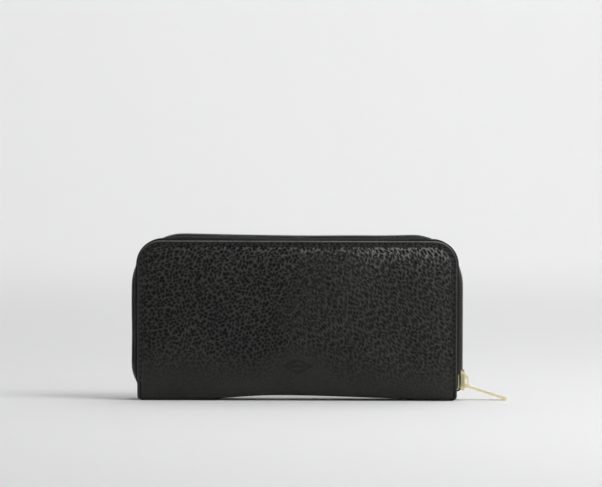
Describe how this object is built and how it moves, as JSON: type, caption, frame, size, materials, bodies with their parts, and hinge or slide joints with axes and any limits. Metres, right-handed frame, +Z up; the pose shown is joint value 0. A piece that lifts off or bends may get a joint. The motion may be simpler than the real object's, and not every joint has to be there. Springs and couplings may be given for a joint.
{
  "type": "zip around wallet",
  "caption": "Long zip around wallet in grained leather, standing on its spine, with hinged covers, card panels, a coin pocket and a metal zip pull.",
  "frame": {"origin": "centre of the spine's underside, on the surface that the wallet stands on", "axes": "+X along the width, towards the side that the main slider rests on; +Y through the depth, from the front cover to the back cover; +Z up, from the spine to the zipped edge"},
  "size_m": [0.2208, 0.025, 0.0974],
  "materials": {
    "outer_leather": "near-black pebble grain, satin",
    "inner_leather": "near-black fine grain, satin",
    "lining": "dark woven lining",
    "board": "matt pulp board, hidden",
    "zip_tape": "black woven tape",
    "zip_coil": "black nylon coil",
    "gold_metal": "polished pale gold plating",
    "thread": "black waxed thread"
  },
  "bodies": {
    "spine": {"spine_leather": "outer_leather", "spine_board": "board", "spine_lining": "lining", "zip_tail_tape_left": "zip_tape", "zip_tail_tape_right": "zip_tape", "zip_tail_coil_left": "zip_coil", "zip_tail_coil_right": "zip_coil", "zip_stop_left": "gold_metal", "zip_stops_right": "gold_metal", "coin_pocket_front_wall": "lining", "coin_pocket_back_wall": "lining", "coin_pocket_left_side": "lining", "coin_pocket_right_side": "lining", "coin_zip_tape_front": "zip_tape", "coin_zip_tape_back": "zip_tape", "coin_zip_coil_front": "zip_coil", "coin_zip_coil_back": "zip_coil", "coin_zip_stops": "gold_metal", "gusset_inner_front_left": "lining", "gusset_inner_front_right": "lining", "gusset_inner_back_left": "lining", "gusset_inner_back_right": "lining"},
    "front_cover": {"front_cover_leather": "outer_leather", "front_cover_board": "board", "front_cover_lining": "lining", "front_slip_pocket": "lining", "front_card_pocket_1": "inner_leather", "front_card_pocket_2": "inner_leather", "front_card_pocket_3": "inner_leather", "front_card_pocket_4": "inner_leather", "front_stitching": "thread", "front_zip_tape": "zip_tape", "front_zip_coil": "zip_coil", "gusset_outer_front_left": "lining", "gusset_outer_front_right": "lining"},
    "back_cover": {"back_cover_leather": "outer_leather", "back_cover_board": "board", "back_cover_lining": "lining", "back_slip_pocket": "lining", "back_card_pocket_1": "inner_leather", "back_card_pocket_2": "inner_leather", "back_card_pocket_3": "inner_leather", "back_card_pocket_4": "inner_leather", "back_stitching": "thread", "back_zip_tape": "zip_tape", "back_zip_coil": "zip_coil", "gusset_outer_back_left": "lining", "gusset_outer_back_right": "lining"},
    "main_slider": {"slider_body": "gold_metal"},
    "main_pull": {"pull_tab": "gold_metal"},
    "coin_slider": {"coin_slider_body": "gold_metal"},
    "coin_pull": {"coin_pull_tab": "gold_metal"}
  },
  "joints": [
    {"name": "front_cover_fold", "type": "hinge", "parent": "spine", "child": "front_cover", "pos_m": [0, -0.0105, 0.002], "axis": [1, 0, 0], "range_deg": [0, 35]},
    {"name": "back_cover_fold", "type": "hinge", "parent": "spine", "child": "back_cover", "pos_m": [0, 0.0105, 0.002], "axis": [-1, 0, 0], "range_deg": [0, 35]},
    {"name": "main_slider_travel", "type": "slide", "parent": "spine", "child": "main_slider", "axis": [0, 0, -1], "range_m": [-0.048, 0]},
    {"name": "main_pull_hinge", "type": "hinge", "parent": "main_slider", "child": "main_pull", "pos_m": [0.0995, 0, 0.0084], "axis": [0, -1, 0], "range_deg": [-66, 105]},
    {"name": "coin_slider_travel", "type": "slide", "parent": "spine", "child": "coin_slider", "axis": [-1, 0, 0], "range_m": [0, 0.13]},
    {"name": "coin_pull_hinge", "type": "hinge", "parent": "coin_slider", "child": "coin_pull", "pos_m": [0.0678, 0, 0.0764], "axis": [0, 1, 0], "range_deg": [0, 170]}
  ]
}
